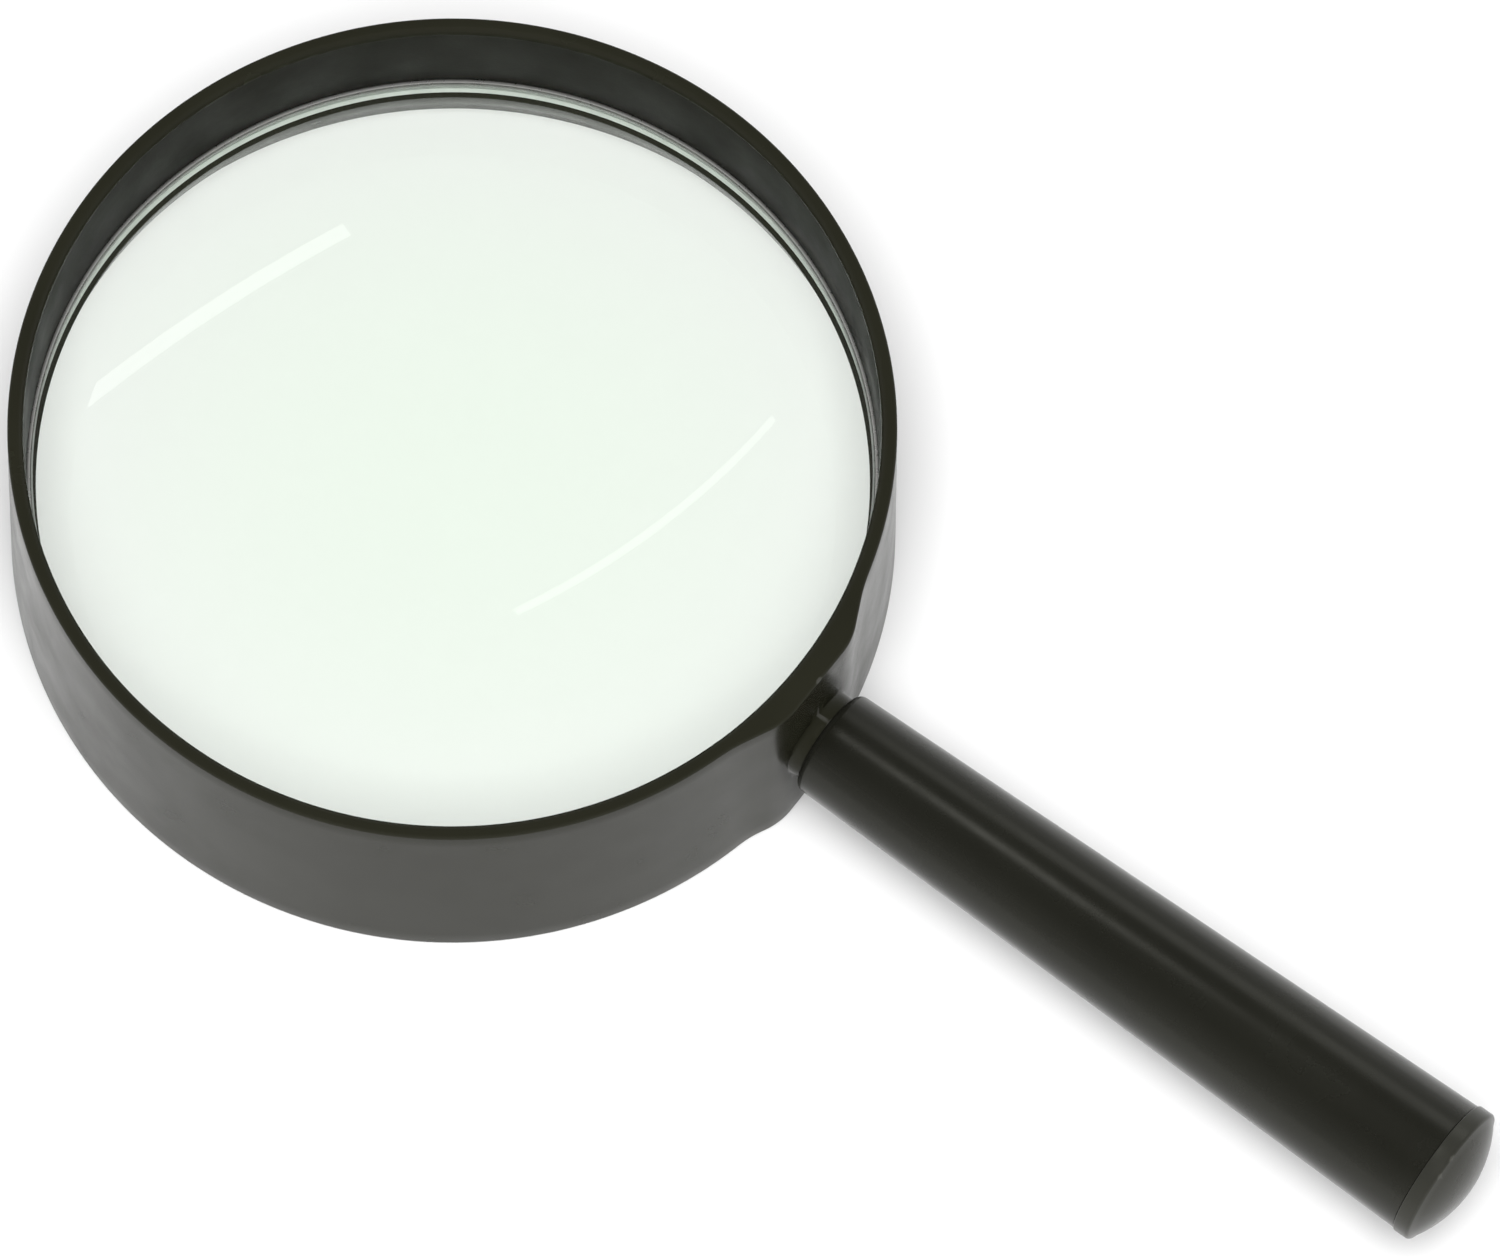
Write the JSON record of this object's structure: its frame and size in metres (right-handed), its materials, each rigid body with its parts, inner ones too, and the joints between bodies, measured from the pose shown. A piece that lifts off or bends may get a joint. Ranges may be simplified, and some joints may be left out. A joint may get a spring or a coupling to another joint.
{
  "type": "hand magnifier",
  "caption": "Round hand magnifier: a biconvex glass lens in a deep black plastic rim, with a straight tapered plastic handle closed by a domed end cap.",
  "frame": {"origin": "on the lens axis, in the plane of the rim's base", "axes": "+Z along the lens axis, up from the base the part rests on; +X from the lens axis along the handle"},
  "size_m": [0.183, 0.0962, 0.03],
  "materials": {
    "black_plastic": "moulded, satin to gloss, slightly warm black",
    "cap_plastic": "moulded, satin black",
    "lens_glass": "clear polished faces with a ground edge, faint green tint",
    "plated_steel": "bright zinc plate on steel, also on the spring wire"
  },
  "bodies": {
    "magnifier": {"rim": "black_plastic", "lens": "lens_glass", "retaining_ring": "plated_steel", "handle": "black_plastic", "end_cap": "cap_plastic", "fixing_screw": "plated_steel", "screw_washer": "plated_steel"}
  },
  "joints": []
}
